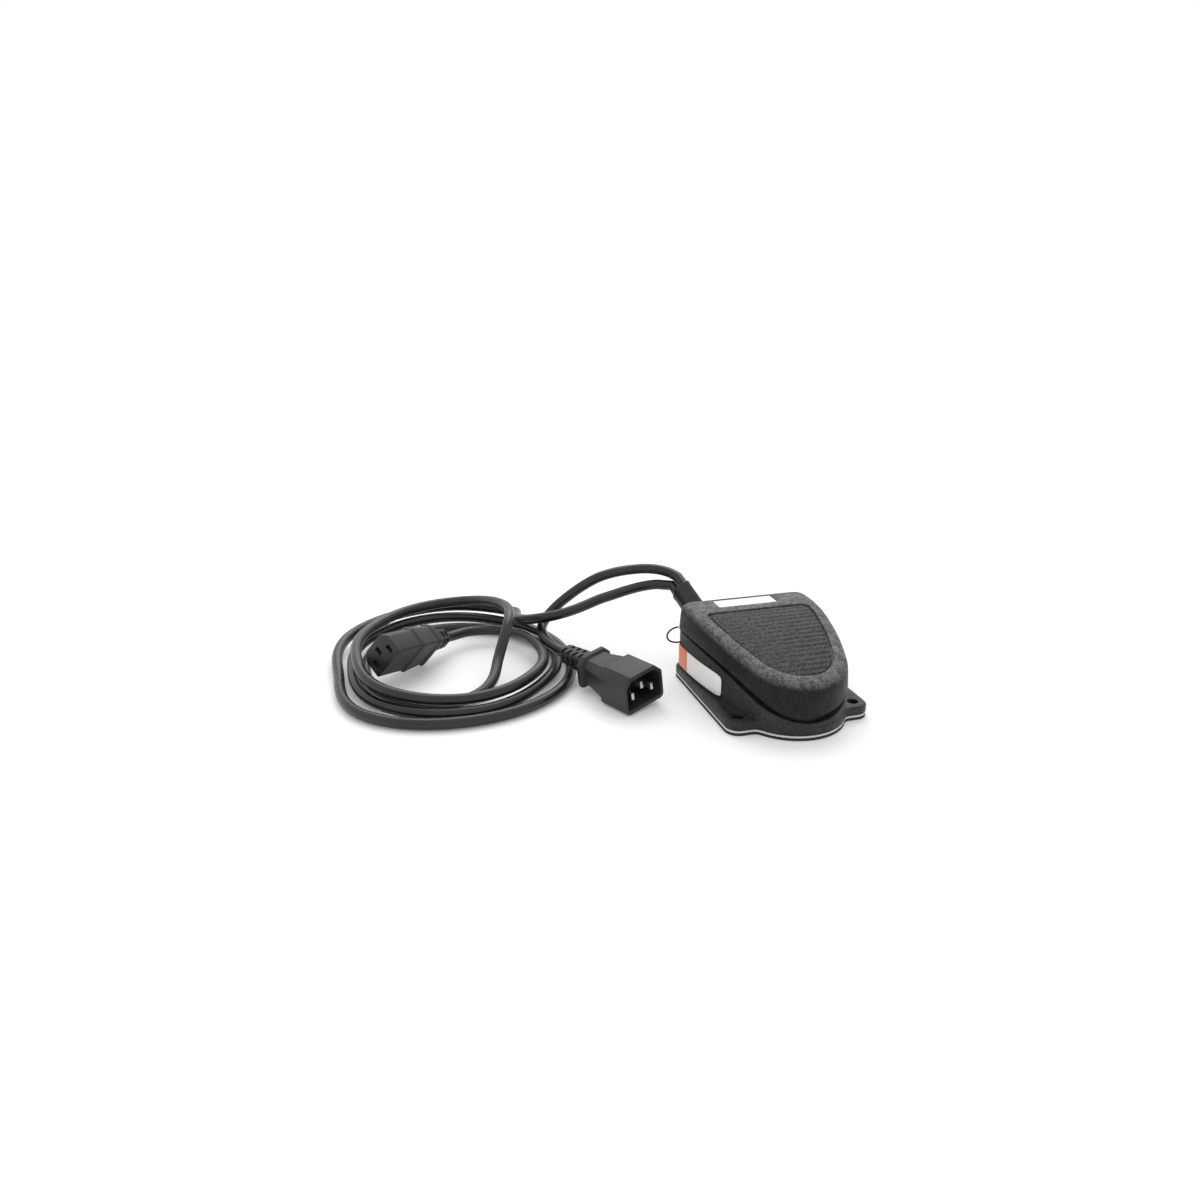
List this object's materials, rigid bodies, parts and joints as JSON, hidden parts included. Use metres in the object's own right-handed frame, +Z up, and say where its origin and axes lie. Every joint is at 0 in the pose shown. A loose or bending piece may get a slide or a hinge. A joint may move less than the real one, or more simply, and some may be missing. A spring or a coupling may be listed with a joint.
{
  "type": "foot switch",
  "caption": "Cast foot switch: a hinged treadle over a wedge base works a snap switch, with a supply cord and plug and a coiled load cord and socket.",
  "frame": {"origin": "underside of the rubber pad, on the switch's centre line, half way along the base", "axes": "+Z up, toe towards -Y, heel and cords towards +Y, +X to the right for a foot on the treadle"},
  "size_m": [0.2714, 0.2188, 0.0493],
  "materials": {
    "black_casting": "black wrinkle powder coat",
    "black_rubber": "smooth black rubber",
    "black_vinyl": "moulded black vinyl",
    "white_foam": "white foam and white moulded plastic",
    "white_label": "blank white label stock",
    "orange_label": "blank orange label stock",
    "steel": "zinc-plated steel",
    "brass": "nickel-plated brass",
    "brown_lead": "brown wire insulation",
    "blue_lead": "blue wire insulation",
    "green_lead": "green wire insulation"
  },
  "bodies": {
    "base": {"base_casting": "black_casting", "foam_layer": "white_foam", "rubber_pad": "black_rubber", "label_white": "white_label", "label_orange": "orange_label", "pivot_pin": "steel", "pivot_clip_left": "steel", "pivot_clip_right": "steel", "return_spring": "steel", "switch_body": "black_vinyl", "switch_bracket": "steel", "switch_screw_1": "steel", "switch_screw_2": "steel", "bracket_screw_1": "steel", "bracket_screw_2": "steel", "switch_terminal_open": "brass", "switch_terminal_common": "brass", "switch_terminal_closed": "brass", "cord_sleeve": "black_vinyl", "supply_tail": "black_vinyl", "load_tail": "black_vinyl", "lead_supply_live": "brown_lead", "lead_load_live": "brown_lead", "lead_supply_neutral": "blue_lead", "lead_load_neutral": "blue_lead", "lead_supply_earth": "green_lead", "lead_load_earth": "green_lead", "neutral_splice": "white_foam", "earth_lug": "brass", "earth_screw": "steel", "bonding_wire": "black_vinyl", "supply_cord": "black_vinyl", "load_cord_run": "black_vinyl", "load_cord_coil": "black_vinyl", "plug_body": "black_vinyl", "plug_pin_line": "brass", "plug_pin_neutral": "brass", "plug_pin_earth": "brass", "socket_body": "black_vinyl", "socket_contact_line": "brass", "socket_contact_neutral": "brass", "socket_contact_earth": "brass"},
    "treadle": {"treadle_cover": "black_casting", "nameplate": "white_label", "actuator_screw": "steel", "actuator_nut": "steel"},
    "lever": {"switch_lever": "steel"},
    "plunger": {"switch_plunger": "white_foam"}
  },
  "joints": [
    {"name": "treadle_hinge", "type": "hinge", "parent": "base", "child": "treadle", "pos_m": [0, 0.036, 0.0325], "axis": [1, 0, 0], "range_deg": [0, 2.29], "stiffness_Nm_per_rad": 5.4, "springref_deg": -5.73, "deforming": ["return_spring"]},
    {"name": "lever_hinge", "type": "hinge", "parent": "base", "child": "lever", "pos_m": [0.011, 0.0129, 0.02739], "axis": [1, 0, 0], "range_deg": [0, 5.1]},
    {"name": "plunger_slide", "type": "slide", "parent": "base", "child": "plunger", "axis": [0, 0, -1], "range_m": [0, 0.0005]}
  ],
  "couplings": [
    {"joint": "lever_hinge", "follows": "treadle_hinge", "ratio": 2.2222},
    {"joint": "plunger_slide", "follows": "treadle_hinge", "m_per_rad": 0.012222}
  ]
}
